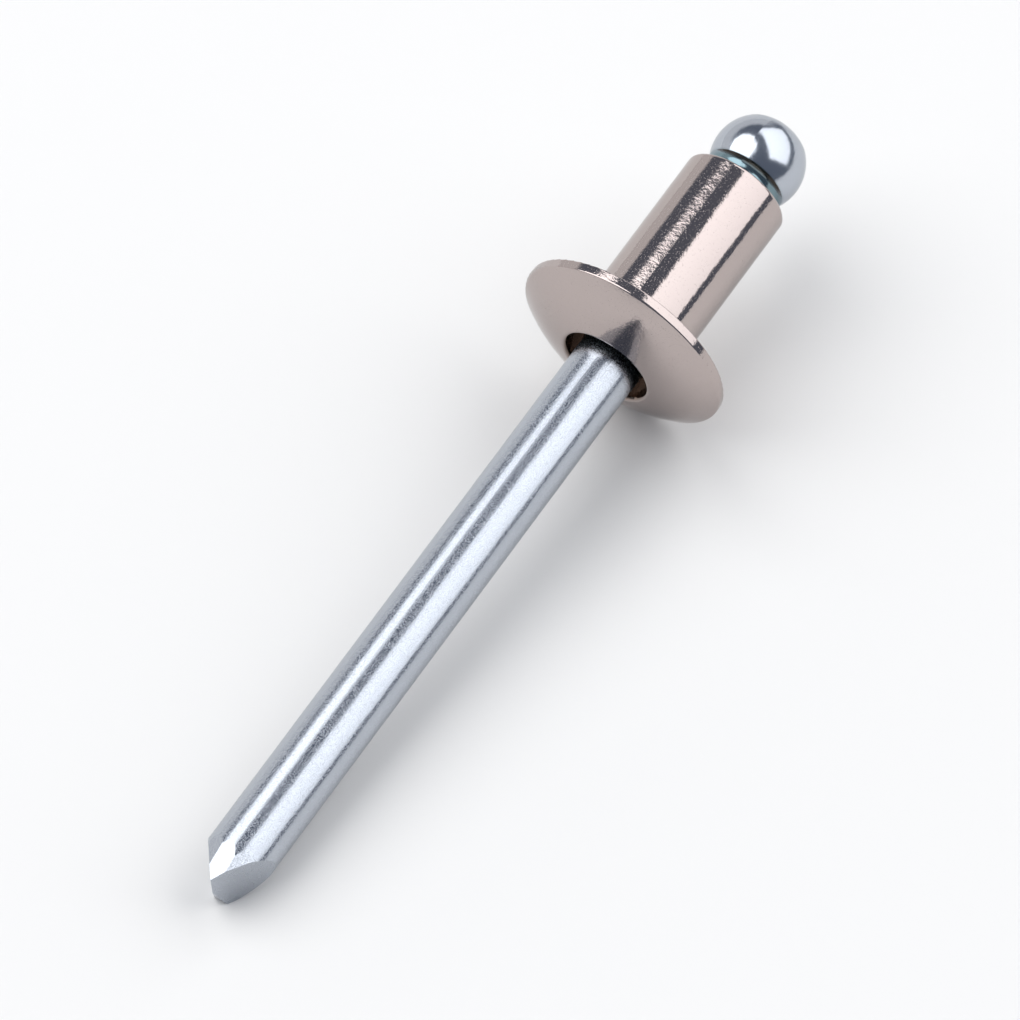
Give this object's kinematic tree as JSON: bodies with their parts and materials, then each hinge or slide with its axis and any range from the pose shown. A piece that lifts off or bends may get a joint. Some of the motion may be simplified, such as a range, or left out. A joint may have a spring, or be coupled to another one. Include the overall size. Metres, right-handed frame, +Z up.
{
  "type": "blind rivet",
  "caption": "Unset open-end blind rivet: plated steel shank with a domed flange, on a wire mandrel with a ball head and a pinched tip.",
  "frame": {"origin": "on the resting surface, under the middle of the rivet's bounding box", "axes": "+X along the rivet towards the ball head, +Z up from the surface that it lies on, +Y across it. The rivet's own axis is raised from +X by 6.6 degrees at the head end, because it lies on its flange's rim and its tip"},
  "size_m": [0.0431, 0.0098, 0.0097],
  "materials": {
    "body_plating": "bright warm plating on steel, with a fine orange-peel ripple",
    "mandrel_plating": "bright cool plating on drawn steel wire, with fine lengthwise drawing lines"
  },
  "bodies": {
    "root": {"rivet_body": "body_plating", "mandrel": "mandrel_plating"}
  },
  "joints": []
}
